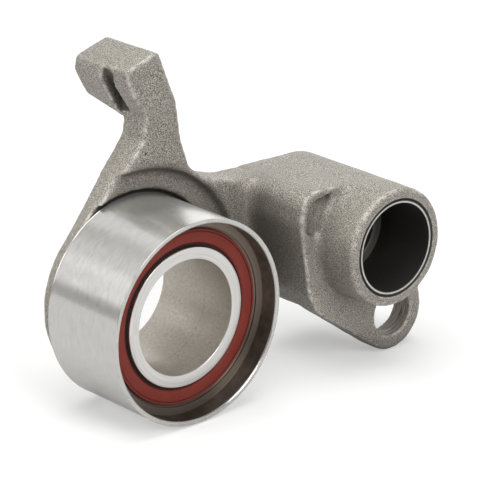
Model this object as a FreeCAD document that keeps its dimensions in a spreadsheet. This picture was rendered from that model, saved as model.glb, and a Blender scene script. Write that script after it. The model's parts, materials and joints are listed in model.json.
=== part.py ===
import FreeCAD, Part
import math
import os

import Sketcher

# Timing belt tensioner: a cast arm that swings on a bushed pivot tube and carries a smooth
# idler pulley on its own double row ball bearing.
# Frame: origin on the pulley's axis at the middle of the belt's width, +Y along the axis
# towards the arm's back, +Z up. The pulley and the ear stand on the plane z = -rim_radius.

SIZES = [
    # pulley rim, which is also the bearing's outer ring
    ("rim_radius", 30.0),
    ("pulley_width", 29.3),
    ("rim_wall", 1.6),
    ("rim_edge_round", 0.4),
    ("outer_land_step", 0.5),
    # seal seat in the outer ring
    ("shoulder_width", 2.2),
    ("seal_mouth_depth", 0.55),
    ("seal_snap_height", 0.7),
    ("seal_snap_bevel", 0.35),
    ("seal_groove_depth", 0.4),
    ("seal_groove_width", 0.6),
    # seals
    ("seal_face_setback", 0.3),
    ("seal_thickness", 1.05),
    ("seal_skirt_depth", 0.3),
    ("seal_insert_thickness", 0.4),
    ("seal_insert_inner_gap", 1.8),
    ("seal_insert_outer_gap", 0.4),
    ("seal_face_gap", 1.35),
    ("seal_lip_width", 0.65),
    ("seal_lip_thickness", 0.3),
    ("seal_bead_width", 0.6),
    ("seal_bead_height", 0.12),
    ("seal_lip_clearance", 0.05),
    # balls and races
    ("ball_diameter", 5.95),
    ("balls_per_row", 12),
    ("row_spacing", 8.2),
    ("row_setback", 3.5),
    ("land_gap", 3.6),
    ("race_conformity", 0.52),
    ("race_clearance", 0.05),
    # cages
    ("cage_thickness", 1.7),
    ("cage_gap", 0.5),
    ("cage_reach", 1.5),
    ("pocket_clearance", 0.1),
    # inner ring
    ("ring_wall", 3.6),
    ("seal_land_step", 1.0),
    ("inner_land_setback", 0.6),
    ("land_bevel", 0.3),
    ("ring_proud", 0.2),
    ("ring_bevel", 0.4),
    ("tail_step", 0.5),
    # arm plate, hub and belt recess
    ("pulley_gap", 1.2),
    ("web_thickness", 5.0),
    ("plate_thickness", 10.0),
    ("plate_setback", 3.0),
    ("belt_gap", 7.2),
    ("recess_depth", 3.0),
    ("sweep_gap", 0.8),
    ("hub_wall", 2.6),
    # hook
    ("hook_block_depth", 12.5),
    ("hook_block_bottom", 51.0),
    ("hook_block_slope", 4.2),
    ("hook_slot_width", 3.6),
    ("hook_slot_setback", 7.0),
    # pivot tube, its bush and its bolt hole
    ("pivot_x", 66.1),
    ("pivot_z", 8.5),
    ("tube_wall", 3.45),
    ("tube_length", 45.5),
    ("tube_edge_round", 1.3),
    ("bush_bore_radius", 13.25),
    ("bush_wall", 1.0),
    ("bush_length", 20.0),
    ("bush_setback", 0.2),
    ("bush_bevel", 0.25),
    ("bush_mouth_bevel", 0.45),
    ("bolt_shoulder", 2.95),
    # ear and the lobe beside the tube
    ("ear_x", 78.0),
    ("ear_wall", 4.5),
    ("ear_thickness", 7.0),
    ("ear_setback", 13.0),
    ("ear_hole_radius", 7.2),
    ("ear_hole_bevel", 0.5),
    ("lobe_rise", 0.6),
    ("lobe_pocket_depth", 2.6),
]

# Sizes that follow from the ones above.
FOLLOWING = [
    ("cup_radius", "=rim_radius - rim_wall"),
    ("bearing_width", "=row_spacing + 2 * (row_setback + seal_thickness + seal_face_setback)"),
    ("cup_depth", "=(pulley_width - bearing_width) / 2"),
    ("seal_mouth_radius", "=cup_radius - shoulder_width"),
    ("seal_snap_radius", "=seal_mouth_radius - seal_snap_height"),
    ("seal_groove_radius", "=seal_snap_radius + seal_groove_depth"),
    ("outer_land_radius", "=seal_snap_radius - outer_land_step"),
    ("inner_land_radius", "=outer_land_radius - land_gap"),
    ("pitch_radius", "=(outer_land_radius + inner_land_radius) / 2"),
    ("inner_land_width", "=row_spacing + 2 * (row_setback - inner_land_setback)"),
    ("seal_land_radius", "=inner_land_radius - seal_land_step"),
    ("bore_radius", "=seal_land_radius - ring_wall"),
    ("tail_radius", "=seal_land_radius - tail_step"),
    ("ring_width", "=bearing_width + 2 * ring_proud"),
    ("seal_lip_root_radius", "=seal_land_radius + seal_lip_clearance + seal_lip_width"),
    ("seal_face_inner_radius", "=seal_land_radius + seal_face_gap"),
    ("seal_insert_inner_radius", "=seal_land_radius + seal_insert_inner_gap"),
    ("seal_insert_outer_radius", "=seal_snap_radius - seal_insert_outer_gap"),
    ("arm_back", "=pulley_width / 2 + pulley_gap + web_thickness"),
    ("sweep_depth", "=plate_thickness - web_thickness"),
    ("plate_radius", "=rim_radius - plate_setback"),
    ("belt_clearance_radius", "=rim_radius + belt_gap"),
    ("hub_radius", "=tail_radius + hub_wall"),
    ("tube_radius", "=bush_bore_radius + bush_wall + tube_wall"),
    ("bolt_hole_radius", "=bush_bore_radius - bolt_shoulder"),
    ("ear_radius", "=ear_hole_radius + ear_wall"),
]

doc = FreeCAD.newDocument("belt_tensioner")


def fill_sheet():
    """Every size goes in one row of the sheet under its own alias."""
    sheet = doc.addObject("Spreadsheet::Sheet", "Sizes")
    for row, (name, value) in enumerate(SIZES + FOLLOWING, start=1):
        sheet.set(f"A{row}", name)
        sheet.set(f"B{row}", str(value))
        sheet.setAlias(f"B{row}", name)
    doc.recompute()
    return sheet


sheet = fill_sheet()


def size(name):
    return float(sheet.get(name))


def new_body(label):
    body = doc.addObject("PartDesign::Body", label)
    body.Label = label
    body.Placement = FreeCAD.Placement()
    return body


def new_sketch(body, name, role, offset=None):
    """Sketch on one of the body's origin planes; offset is an expression along its normal."""
    plane = next(item for item in body.Origin.OriginFeatures if item.Role == role)
    sketch = body.newObject("Sketcher::SketchObject", name)
    sketch.AttachmentSupport = (plane, "")
    sketch.MapMode = "FlatFace"
    if offset is not None:
        sketch.setExpression("AttachmentOffset.Base.z", offset)
    return sketch


def tie(sketch, kind, geometry, point, expression):
    """Hold one coordinate of a point, measured from the sketch's origin, to an expression."""
    index = sketch.addConstraint(Sketcher.Constraint(kind, -1, 1, geometry, point, 1.0))
    sketch.setExpression(f"Constraints[{index}]", expression)


def join_ends(sketch, ends):
    """Joins each piece of a closed outline to the next; ends holds (first, last) point numbers."""
    joints = []
    for index, (first, last) in enumerate(ends):
        after = (index + 1) % len(ends)
        joints.append(Sketcher.Constraint("Coincident", index, last, after, ends[after][0]))
    sketch.addConstraint(joints)


def driven_outline(sketch, corners):
    """Closed outline of straight lines; each corner's two coordinates are expressions."""
    count = len(corners)
    ring = []
    for index in range(count):
        turn = 2 * math.pi * index / count
        ring.append(FreeCAD.Vector(math.cos(turn), math.sin(turn), 0) * size("rim_radius"))
    for index in range(count):
        sketch.addGeometry(Part.LineSegment(ring[index], ring[(index + 1) % count]), False)
    join_ends(sketch, [(1, 2)] * count)
    for index, (across, along) in enumerate(corners):
        tie(sketch, "DistanceX", index, 1, across)
        tie(sketch, "DistanceY", index, 1, along)


def driven_circle(sketch, radius, centre=None):
    """Circle with its radius, and its centre where that isn't the origin, as expressions."""
    circle = Part.Circle(FreeCAD.Vector(), FreeCAD.Vector(0, 0, 1), size("ball_diameter"))
    index = sketch.addGeometry(circle, False)
    if centre is None:
        sketch.addConstraint(Sketcher.Constraint("Coincident", index, 3, -1, 1))
    else:
        tie(sketch, "DistanceX", index, 3, centre[0])
        tie(sketch, "DistanceY", index, 3, centre[1])
    held = sketch.addConstraint(Sketcher.Constraint("Radius", index, 1.0))
    sketch.setExpression(f"Constraints[{held}]", radius)


def rounded_outline(sketch, corners):
    """Closed outline of lines joined by tangent arcs; a corner is (x, z, radius)."""
    count = len(corners)
    points = [FreeCAD.Vector(x, z, 0) for x, z, radius in corners]
    stretches = []
    for index, (x, z, radius) in enumerate(corners):
        here = points[index]
        before = (points[index - 1] - here).normalize()
        after = (points[(index + 1) % count] - here).normalize()
        half = before.getAngle(after) / 2
        reach = radius / math.tan(half)
        start = here + before * reach
        end = here + after * reach
        middle = here + (before + after).normalize() * (radius / math.sin(half) - radius)
        stretches.append((start, middle, end, radius))
    geometry = []
    ends = []
    for index, (start, middle, end, radius) in enumerate(stretches):
        if radius > 0:
            geometry.append(Part.Arc(start, middle, end))
            counterclockwise = (middle - start).cross(end - middle).z > 0
            ends.append((1, 2) if counterclockwise else (2, 1))
        geometry.append(Part.LineSegment(end, stretches[(index + 1) % count][0]))
        ends.append((1, 2))
    sketch.addGeometry(geometry, False)
    join_ends(sketch, ends)


def turned(body, name, corners):
    """Solid of revolution about the pulley's axis; corners are (radius, y) expressions."""
    sketch = new_sketch(body, name + "_profile", "XY_Plane")
    driven_outline(sketch, corners)
    turn = body.newObject("PartDesign::Revolution", name)
    turn.Profile = sketch
    turn.ReferenceAxis = (sketch, ["V_Axis"])
    turn.Angle = 360
    return turn


def race_groove(body, name, bottom_radius, side, row):
    """Ball track; side is -1 where it is cut into an outer ring and 1 in an inner ring."""
    track = "Sizes.race_conformity * Sizes.ball_diameter"
    sketch = new_sketch(body, name + "_profile", "XY_Plane")
    centre = f"{bottom_radius} + {side} * {track}"
    driven_circle(sketch, track, (centre, f"{row} * Sizes.row_spacing / 2"))
    groove = body.newObject("PartDesign::Groove", name)
    groove.Profile = sketch
    groove.ReferenceAxis = (sketch, ["V_Axis"])
    groove.Angle = 360


def slab(body, name, back, thickness, draw, *details):
    """Material from the plane y = back towards the front."""
    sketch = new_sketch(body, name + "_outline", "XZ_Plane", f"-({back})")
    draw(sketch, *details)
    pad = body.newObject("PartDesign::Pad", name)
    pad.Profile = sketch
    pad.setExpression("Length", thickness)


def cut(body, name, front, depth, draw, *details):
    """Material taken away from the plane y = front towards the back."""
    sketch = new_sketch(body, name + "_outline", "XZ_Plane", f"-({front})")
    draw(sketch, *details)
    pocket = body.newObject("PartDesign::Pocket", name)
    pocket.Profile = sketch
    pocket.setExpression("Length", depth)


def bevel(body, name, width, edges):
    base = body.Tip
    chamfer = body.newObject("PartDesign::Chamfer", name)
    chamfer.Base = (base, edges)
    chamfer.setExpression("Size", width)


def rounded(body, name, radius, edges):
    base = body.Tip
    fillet = body.newObject("PartDesign::Fillet", name)
    fillet.Base = (base, edges)
    fillet.setExpression("Radius", radius)


def circles_at(shape, y, radius, centre):
    """Names of the round edges on the plane y about an axis at centre (x, z)."""
    found = []
    for index, edge in enumerate(shape.Edges, start=1):
        curve = edge.Curve
        if not isinstance(curve, Part.Circle):
            continue
        offset = FreeCAD.Vector(curve.Center.x - centre[0], curve.Center.y - y, curve.Center.z - centre[1])
        if offset.Length < 0.01 and abs(curve.Radius - radius) < 0.01:
            found.append(f"Edge{index}")
    return found


# Planes and places that several pieces share, as expressions

PULLEY_HALF = "Sizes.pulley_width / 2"
SHOULDER = "(Sizes.pulley_width / 2 - Sizes.cup_depth)"
SEAL_FACE = "(Sizes.pulley_width / 2 - Sizes.cup_depth - Sizes.seal_face_setback)"
SEAL_BACK = f"({SEAL_FACE} - Sizes.seal_thickness)"
RING_HALF = "Sizes.ring_width / 2"
ARM_FRONT = "(Sizes.arm_back - Sizes.plate_thickness)"
TUBE_FRONT = "(Sizes.arm_back - Sizes.tube_length)"
EAR_FRONT = "(Sizes.arm_back - Sizes.tube_length + Sizes.ear_setback)"
EAR_BACK = "(Sizes.arm_back - Sizes.tube_length + Sizes.ear_setback + Sizes.ear_thickness)"
PIVOT = ("Sizes.pivot_x", "Sizes.pivot_z")
EAR = ("Sizes.ear_x", "Sizes.ear_radius - Sizes.rim_radius")
BUSH_SEAT_RADIUS = "Sizes.bush_bore_radius + Sizes.bush_wall"


def make_outer_ring():
    """One turned steel piece: the belt runs on it, and the balls run in its bore."""
    body = new_body("pulley_outer_ring")
    half = []
    mouth = f"({SHOULDER} - Sizes.seal_mouth_depth)"
    groove_floor = f"({SEAL_BACK} - Sizes.seal_skirt_depth)"
    groove_top = f"({groove_floor} + Sizes.seal_groove_width)"
    snap_top = f"({mouth} - Sizes.seal_snap_bevel)"
    half.append(("Sizes.rim_radius", f"({PULLEY_HALF} - Sizes.rim_edge_round)"))
    half.append(("Sizes.rim_radius - Sizes.rim_edge_round", PULLEY_HALF))
    half.append(("Sizes.cup_radius + Sizes.rim_edge_round", PULLEY_HALF))
    half.append(("Sizes.cup_radius", f"({PULLEY_HALF} - Sizes.rim_edge_round)"))
    half.append(("Sizes.cup_radius", SHOULDER))
    half.append(("Sizes.seal_mouth_radius", SHOULDER))
    half.append(("Sizes.seal_mouth_radius", mouth))
    half.append(("Sizes.seal_snap_radius", snap_top))
    half.append(("Sizes.seal_snap_radius", groove_top))
    half.append(("Sizes.seal_groove_radius", f"({groove_top} - Sizes.seal_groove_width / 4)"))
    half.append(("Sizes.seal_groove_radius", groove_floor))
    half.append(("Sizes.outer_land_radius", groove_floor))
    front = [(radius, "-" + place if place.startswith("(") else f"-({place})") for radius, place in half]
    turned(body, "rim_blank", half + front[::-1])
    bottom = "Sizes.pitch_radius + Sizes.ball_diameter / 2 + Sizes.race_clearance"
    race_groove(body, "front_track", bottom, -1, -1)
    race_groove(body, "rear_track", bottom, -1, 1)
    return body


def make_inner_ring():
    """Stationary ring; its tail is pressed into the arm's hub, through to the arm's back."""
    body = new_body("inner_ring")
    land = "Sizes.inner_land_width / 2"
    corners = [
        ("Sizes.bore_radius", f"-{RING_HALF} + Sizes.ring_bevel"),
        ("Sizes.bore_radius + Sizes.ring_bevel", f"-{RING_HALF}"),
        ("Sizes.seal_land_radius - Sizes.ring_bevel", f"-{RING_HALF}"),
        ("Sizes.seal_land_radius", f"-{RING_HALF} + Sizes.ring_bevel"),
        ("Sizes.seal_land_radius", f"-{land} - Sizes.land_bevel"),
        ("Sizes.inner_land_radius", f"-{land}"),
        ("Sizes.inner_land_radius", land),
        ("Sizes.seal_land_radius", f"{land} + Sizes.land_bevel"),
        ("Sizes.seal_land_radius", RING_HALF),
        ("Sizes.tail_radius", RING_HALF),
        ("Sizes.tail_radius", "Sizes.arm_back"),
        ("Sizes.bore_radius + Sizes.ring_bevel", "Sizes.arm_back"),
        ("Sizes.bore_radius", "Sizes.arm_back - Sizes.ring_bevel"),
    ]
    turned(body, "ring_blank", corners)
    bottom = "Sizes.pitch_radius - Sizes.ball_diameter / 2 - Sizes.race_clearance"
    race_groove(body, "front_track", bottom, 1, -1)
    race_groove(body, "rear_track", bottom, 1, 1)
    return body


def make_seal(side, sign):
    """Rubber seal snapped into the outer ring; its lip runs on the inner ring."""
    lip = "Sizes.seal_land_radius + Sizes.seal_lip_clearance"
    insert_top = f"({SEAL_BACK} + Sizes.seal_insert_thickness)"
    lip_top = f"({SEAL_BACK} + Sizes.seal_lip_thickness)"
    bead_top = f"({SEAL_FACE} + Sizes.seal_bead_height)"
    skirt = f"({SEAL_BACK} - Sizes.seal_skirt_depth)"
    groove_top = f"({skirt} + Sizes.seal_groove_width * 3 / 4)"
    outer = "Sizes.seal_snap_radius - Sizes.seal_lip_clearance"
    corners = [
        (lip, SEAL_BACK),
        (lip, lip_top),
        ("Sizes.seal_lip_root_radius", lip_top),
        ("Sizes.seal_face_inner_radius", SEAL_FACE),
        (f"{outer} - Sizes.seal_bead_width - Sizes.seal_bead_height", SEAL_FACE),
        (f"{outer} - Sizes.seal_bead_width", bead_top),
        (outer, bead_top),
        (outer, f"({groove_top} + Sizes.seal_groove_width / 4)"),
        ("Sizes.seal_groove_radius", groove_top),
        ("Sizes.seal_groove_radius", skirt),
        ("Sizes.seal_insert_outer_radius", skirt),
        ("Sizes.seal_insert_outer_radius", insert_top),
        ("Sizes.seal_insert_inner_radius", insert_top),
        ("Sizes.seal_insert_inner_radius", SEAL_BACK),
    ]
    rubber = new_body(f"{side}_seal_rubber")
    turned(rubber, "seal", [(radius, f"{sign} * {place}") for radius, place in corners])
    insert_corners = [
        ("Sizes.seal_insert_inner_radius", SEAL_BACK),
        ("Sizes.seal_insert_outer_radius", SEAL_BACK),
        ("Sizes.seal_insert_outer_radius", insert_top),
        ("Sizes.seal_insert_inner_radius", insert_top),
    ]
    insert = new_body(f"{side}_seal_insert")
    turned(insert, "insert", [(radius, f"{sign} * {place}") for radius, place in insert_corners])
    return [rubber, insert]


def make_cage(side, sign, turn_share):
    """Snap-in cage: a band with round pockets that open towards the seal."""
    body = new_body(f"{side}_cage")
    inner = "Sizes.pitch_radius - Sizes.cage_thickness / 2"
    outer = "Sizes.pitch_radius + Sizes.cage_thickness / 2"
    near = f"{sign} * Sizes.cage_gap / 2"
    far = f"{sign} * (Sizes.row_spacing / 2 + Sizes.cage_reach)"
    turned(body, "band", [(inner, near), (outer, near), (outer, far), (inner, far)])
    sketch = new_sketch(body, "pocket_outline", "YZ_Plane")
    radius = "Sizes.ball_diameter / 2 + Sizes.pocket_clearance"
    circle = Part.Circle(FreeCAD.Vector(), FreeCAD.Vector(0, 0, 1), size("ball_diameter"))
    sketch.addGeometry(circle, False)
    tie(sketch, "DistanceX", 0, 3, f"{sign} * Sizes.row_spacing / 2")
    sketch.addConstraint(Sketcher.Constraint("PointOnObject", 0, 3, -1))
    held = sketch.addConstraint(Sketcher.Constraint("Radius", 0, 1.0))
    sketch.setExpression(f"Constraints[{held}]", radius)
    pocket = body.newObject("PartDesign::Pocket", "ball_pocket")
    pocket.Profile = sketch
    pocket.Reversed = True
    pocket.setExpression("Length", "2 * Sizes.pitch_radius")
    pockets = body.newObject("PartDesign::PolarPattern", "ball_pockets")
    pockets.Originals = [pocket]
    axis = next(item for item in body.Origin.OriginFeatures if item.Role == "Y_Axis")
    pockets.Axis = (axis, [""])
    pockets.Angle = 360
    pockets.setExpression("Occurrences", "Sizes.balls_per_row")
    body.Tip = pockets
    turn = turn_share * 360 / size("balls_per_row")
    body.Placement.Rotation = FreeCAD.Rotation(FreeCAD.Vector(0, 1, 0), turn)
    return body


def make_balls(side, sign, turn_share):
    """One row of balls on the pitch circle; turn_share staggers the row by part of a step."""
    balls = []
    for index in range(round(size("balls_per_row"))):
        ball = doc.addObject("Part::Sphere", f"{side}_ball_{index + 1:02d}")
        ball.Label = ball.Name
        ball.setExpression("Radius", "Sizes.ball_diameter / 2")
        step = f"({index} + {turn_share}) * 360deg / Sizes.balls_per_row"
        ball.setExpression("Placement.Base.x", f"Sizes.pitch_radius * cos({step})")
        ball.setExpression("Placement.Base.y", f"{sign} * Sizes.row_spacing / 2")
        ball.setExpression("Placement.Base.z", f"-Sizes.pitch_radius * sin({step})")
        balls.append(ball)
    return balls


def make_bush():
    """Bearing bush pressed into the front of the pivot tube."""
    body = new_body("pivot_bush")
    front = f"({TUBE_FRONT} + Sizes.bush_setback)"
    back = f"({TUBE_FRONT} + Sizes.bush_length)"
    slab(body, "bush_blank", back, f"{back} - {front}", driven_circle, BUSH_SEAT_RADIUS, PIVOT)
    cut(body, "bush_bore", front, "Sizes.bush_length", driven_circle, "Sizes.bush_bore_radius", PIVOT)
    doc.recompute()
    bore_edges = circles_at(
        body.Shape,
        size("arm_back") - size("tube_length") + size("bush_setback"),
        size("bush_bore_radius"),
        (size("pivot_x"), size("pivot_z")),
    )
    bevel(body, "bush_lead_in", "Sizes.bush_bevel", bore_edges)
    return body


def tangent_point(start, centre, radius, turn):
    """Where a straight edge from start touches a circle; turn is 1 or -1 for its two sides."""
    reach = start - centre
    swing = math.acos(radius / reach.Length) * turn
    heading = math.atan2(reach.y, reach.x) + swing
    return centre + FreeCAD.Vector(math.cos(heading), math.sin(heading), 0) * radius


def outer_tangent(centre_a, radius_a, centre_b, radius_b):
    """Touching points of the straight edge on the right of two circles, from a to b."""
    span = centre_b - centre_a
    heading = math.atan2(span.y, span.x) - math.acos((radius_a - radius_b) / span.Length)
    normal = FreeCAD.Vector(math.cos(heading), math.sin(heading), 0)
    return centre_a + normal * radius_a, centre_b + normal * radius_b


def lobe_left_corners():
    """Left edge of the lobe beside the tube, from its top down, placed from the pivot."""
    x = size("pivot_x")
    z = size("pivot_z")
    return [
        (x, z + size("tube_radius"), 0),
        (x - 24.2, z + size("tube_radius") + size("lobe_rise"), 5.5),
        (x - 25.3, z + 8.5, 12),
        (x - 21.9, z - 13.0, 6),
        (x - 19.0, z - 19.0, 4),
    ]


def neck_corners():
    """Front view of the hook, the neck and the web to the tube, about the pulley's axis."""
    x = size("pivot_x")
    z = size("pivot_z")
    edge = size("plate_radius") * math.sqrt(0.5)
    return [
        (-3.7, 67.1, 1.0),
        (7.9, 70.8, 1.8),
        (14.3, 54.9, 10),
        (15.9, 43.2, 12),
        (19.4, 34.3, 6),
        (25.8, 29.8, 6),
        (35.0, 27.0, 12),
        (48.0, 26.2, 8),
        (x, z + size("tube_radius"), 0),
        (x, z - size("tube_radius"), 0),
        (46.7, -9.8, 3),
        (31.0, -13.0, 10),
        (edge, -edge, 0),
        (-edge, edge, 0),
        (-10.0, 30.6, 12),
        (-5.3, 37.1, 5),
        (2.2, 46.0, 5),
        (3.1, 52.6, 4),
        (-2.4, 61.2, 4),
    ]


def hook_block_corners():
    """Back view of the hook's thick end, which reaches past the arm's back."""
    bottom = size("hook_block_bottom")
    return [
        (-3.7, 67.1, 1.0),
        (7.9, 70.8, 1.8),
        (14.3, 54.9, 3),
        (14.6, bottom, 1),
        (2.3, bottom, 1),
        (-1.2, 57.0, 5),
        (-4.6, 63.2, 3),
    ]


def hook_slot_corners():
    """Undercut in the hook's left side; it starts at the top edge and runs out above the neck."""
    return [
        (-6.0, 65.9, 0),
        (-2.9, 65.9, 0),
        (0.4, 61.7, 3),
        (4.1, 56.8, 3),
        (4.0, 53.2, 1.5),
        (1.6, 51.3, 0),
        (-6.0, 51.3, 0),
    ]


def ear_plate_corners():
    """Front plate that carries the ear: the lobe's edge, then tangents to the ear."""
    pivot = FreeCAD.Vector(size("pivot_x"), size("pivot_z"), 0)
    ear = FreeCAD.Vector(size("ear_x"), size("ear_radius") - size("rim_radius"), 0)
    corners = lobe_left_corners()
    last = FreeCAD.Vector(corners[-1][0], corners[-1][1], 0)
    foot = tangent_point(last, ear, size("ear_radius"), 1)
    low, high = outer_tangent(ear, size("ear_radius"), pivot, size("tube_radius"))
    corners += [(foot.x, foot.y, 0), (ear.x, ear.y, 0), (low.x, low.y, 0), (high.x, high.y, 0)]
    return corners


def lobe_corners():
    """The lobe behind the ear plate, back to the arm's back face."""
    x = size("pivot_x")
    z = size("pivot_z")
    return lobe_left_corners() + [(x - 10.0, z - 22.0, 4), (x, z - size("tube_radius"), 0)]


def lobe_pocket_corners():
    """Shallow crescent in the lobe's front face, between its rim and the tube."""
    x = size("pivot_x")
    z = size("pivot_z")
    return [
        (x - 18.9, z + 4.5, 1.0),
        (x - 22.6, z + 5.5, 1.5),
        (x - 22.4, z + 14.8, 4),
        (x - 11.5, z + 16.6, 1.0),
        (x - 15.8, z + 12.0, 6),
    ]


def slope_hook_block(body):
    """Wedge taken off the underside of the hook's thick end, deeper towards its back."""
    sketch = new_sketch(body, "hook_slope_outline", "YZ_Plane", "-Sizes.rim_radius")
    back = "Sizes.arm_back + Sizes.hook_block_depth"
    high = "Sizes.hook_block_bottom + Sizes.hook_block_slope"
    low = "Sizes.hook_block_bottom - Sizes.hook_block_slope"
    driven_outline(sketch, [("Sizes.arm_back", "Sizes.hook_block_bottom"), (back, high), (back, low)])
    wedge = body.newObject("PartDesign::Pocket", "hook_slope")
    wedge.Profile = sketch
    wedge.Reversed = True
    wedge.setExpression("Length", "2 * Sizes.rim_radius")


def make_arm():
    """One casting: plate and hub, neck and hook, web, pivot tube with its lobe, and ear."""
    body = new_body("arm_casting")
    slab(body, "neck", "Sizes.arm_back", "Sizes.plate_thickness", rounded_outline, neck_corners())
    slab(body, "plate", "Sizes.arm_back", "Sizes.plate_thickness", driven_circle, "Sizes.plate_radius")
    cut(body, "belt_recess", ARM_FRONT, "Sizes.recess_depth", driven_circle, "Sizes.belt_clearance_radius")
    sweep_radius = "Sizes.rim_radius + Sizes.sweep_gap"
    cut(body, "pulley_sweep", ARM_FRONT, "Sizes.sweep_depth", driven_circle, sweep_radius)
    slab(body, "hub", "Sizes.arm_back", f"Sizes.arm_back - {RING_HALF}", driven_circle, "Sizes.hub_radius")
    block_back = "(Sizes.arm_back + Sizes.hook_block_depth)"
    slab(body, "hook_block", block_back, "Sizes.hook_block_depth", rounded_outline, hook_block_corners())
    slope_hook_block(body)
    slot_front = f"({ARM_FRONT} + Sizes.hook_slot_setback)"
    cut(body, "hook_slot", slot_front, "Sizes.hook_slot_width", rounded_outline, hook_slot_corners())
    slab(body, "lobe", "Sizes.arm_back", f"Sizes.arm_back - {EAR_BACK}", rounded_outline, lobe_corners())
    slab(body, "ear_plate", EAR_BACK, "Sizes.ear_thickness", rounded_outline, ear_plate_corners())
    slab(body, "ear", EAR_BACK, "Sizes.ear_thickness", driven_circle, "Sizes.ear_radius", EAR)
    cut(body, "lobe_pocket", EAR_FRONT, "Sizes.lobe_pocket_depth", rounded_outline, lobe_pocket_corners())
    slab(body, "tube", "Sizes.arm_back", "Sizes.tube_length", driven_circle, "Sizes.tube_radius", PIVOT)
    through = "Sizes.arm_back + Sizes.tube_length"
    cut(body, "hub_bore", f"-{PULLEY_HALF}", through, driven_circle, "Sizes.tail_radius")
    cut(body, "bush_seat", TUBE_FRONT, "Sizes.bush_length", driven_circle, BUSH_SEAT_RADIUS, PIVOT)
    cut(body, "bolt_hole", TUBE_FRONT, "Sizes.tube_length", driven_circle, "Sizes.bolt_hole_radius", PIVOT)
    cut(body, "ear_hole", EAR_FRONT, "Sizes.ear_thickness", driven_circle, "Sizes.ear_hole_radius", EAR)
    pivot = (size("pivot_x"), size("pivot_z"))
    ear = (size("ear_x"), size("ear_radius") - size("rim_radius"))
    tube_front = size("arm_back") - size("tube_length")
    ear_front = tube_front + size("ear_setback")
    seat_radius = size("bush_bore_radius") + size("bush_wall")
    doc.recompute()
    tube_edges = circles_at(body.Shape, tube_front, size("tube_radius"), pivot)
    rounded(body, "tube_rim", "Sizes.tube_edge_round", tube_edges)
    doc.recompute()
    seat_edges = circles_at(body.Shape, tube_front, seat_radius, pivot)
    bevel(body, "bush_mouth", "Sizes.bush_mouth_bevel", seat_edges)
    doc.recompute()
    ear_edges = circles_at(body.Shape, ear_front, size("ear_hole_radius"), ear)
    bevel(body, "ear_hole_rim", "Sizes.ear_hole_bevel", ear_edges)
    return body


def build():
    pieces = [make_arm(), make_bush(), make_outer_ring(), make_inner_ring()]
    rows = [("front", -1, 0), ("rear", 1, 0.5)]
    for side, sign, turn_share in rows:
        pieces += make_seal(side, sign)
        pieces.append(make_cage(side, sign, turn_share))
        pieces += make_balls(side, sign, turn_share)
    doc.recompute()
    return pieces


def check(pieces):
    for item in doc.Objects:
        if "Invalid" in item.State or "Error" in item.State:
            raise RuntimeError(f"{item.Label} did not recompute: {item.State}")
    for piece in pieces:
        if piece.Shape.isNull() or not piece.Shape.isValid() or len(piece.Shape.Solids) != 1:
            raise RuntimeError(f"{piece.Label} is not one valid solid")


def write(pieces):
    os.makedirs("parts", exist_ok=True)
    for piece in pieces:
        piece.Shape.exportStep(f"parts/{piece.Label}.step")


pieces = build()
check(pieces)
write(pieces)
print(len(pieces), "pieces written")
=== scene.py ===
import json
import math

import bpy
import numpy as np
from mathutils import Matrix, Vector
from mathutils.noise import noise as noiseAt


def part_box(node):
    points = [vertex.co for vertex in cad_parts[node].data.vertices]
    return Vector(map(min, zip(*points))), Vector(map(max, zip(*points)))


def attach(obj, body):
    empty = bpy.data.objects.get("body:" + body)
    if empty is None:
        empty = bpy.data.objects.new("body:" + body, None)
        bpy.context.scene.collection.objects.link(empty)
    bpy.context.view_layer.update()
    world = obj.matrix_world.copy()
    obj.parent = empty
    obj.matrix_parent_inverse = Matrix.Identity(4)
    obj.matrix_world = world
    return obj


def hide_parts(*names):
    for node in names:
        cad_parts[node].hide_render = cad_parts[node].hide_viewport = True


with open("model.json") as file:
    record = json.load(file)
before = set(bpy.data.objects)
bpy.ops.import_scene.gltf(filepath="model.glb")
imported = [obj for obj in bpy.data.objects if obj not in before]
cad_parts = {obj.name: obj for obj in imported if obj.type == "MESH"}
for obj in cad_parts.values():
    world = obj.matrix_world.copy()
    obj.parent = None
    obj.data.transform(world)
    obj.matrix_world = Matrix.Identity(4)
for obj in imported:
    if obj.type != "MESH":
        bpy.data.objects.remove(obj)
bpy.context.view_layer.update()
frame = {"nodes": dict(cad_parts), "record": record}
print("CAD frame loaded:", len(frame["nodes"]), "nodes")

mm = 0.001
sharpAngle = 22     # degrees; turned edges steeper than this stay sharp
finishes = {}       # materials by the name of their slot

# the arm's round holes, in millimetres: x and z of the axis, radius, and both ends along Y
holes = {
    "hub": {"axis": (0, 0), "radius": 19.9, "front": 9.15, "back": 20.85},
    "seat": {"axis": (66.1, 8.5), "radius": 14.25, "front": -24.65, "back": -4.65},
    "bolt": {"axis": (66.1, 8.5), "radius": 10.3, "front": -4.65, "back": 20.85},
    "ear": {"axis": (78.0, -18.3), "radius": 7.2, "front": -11.65, "back": -4.65},
}


# small helpers
def addObject(name, data):
    obj = bpy.data.objects.new(name, data)
    bpy.context.scene.collection.objects.link(obj)
    return obj


def addNode(mat, kind, **values):
    node = mat.node_tree.nodes.new(kind)
    for key, value in values.items():
        if key in node.inputs:
            node.inputs[key].default_value = value
        else:
            setattr(node, key, value)
    return node


def join(mat, source, target):
    mat.node_tree.links.new(source, target)


def newMaterial(name):
    mat = bpy.data.materials.new(name)
    mat.use_nodes = True
    mat.node_tree.nodes.clear()
    out = addNode(mat, "ShaderNodeOutputMaterial")
    shader = addNode(mat, "ShaderNodeBsdfPrincipled")
    join(mat, shader.outputs["BSDF"], out.inputs["Surface"])
    finishes[name] = mat
    return mat, shader


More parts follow.
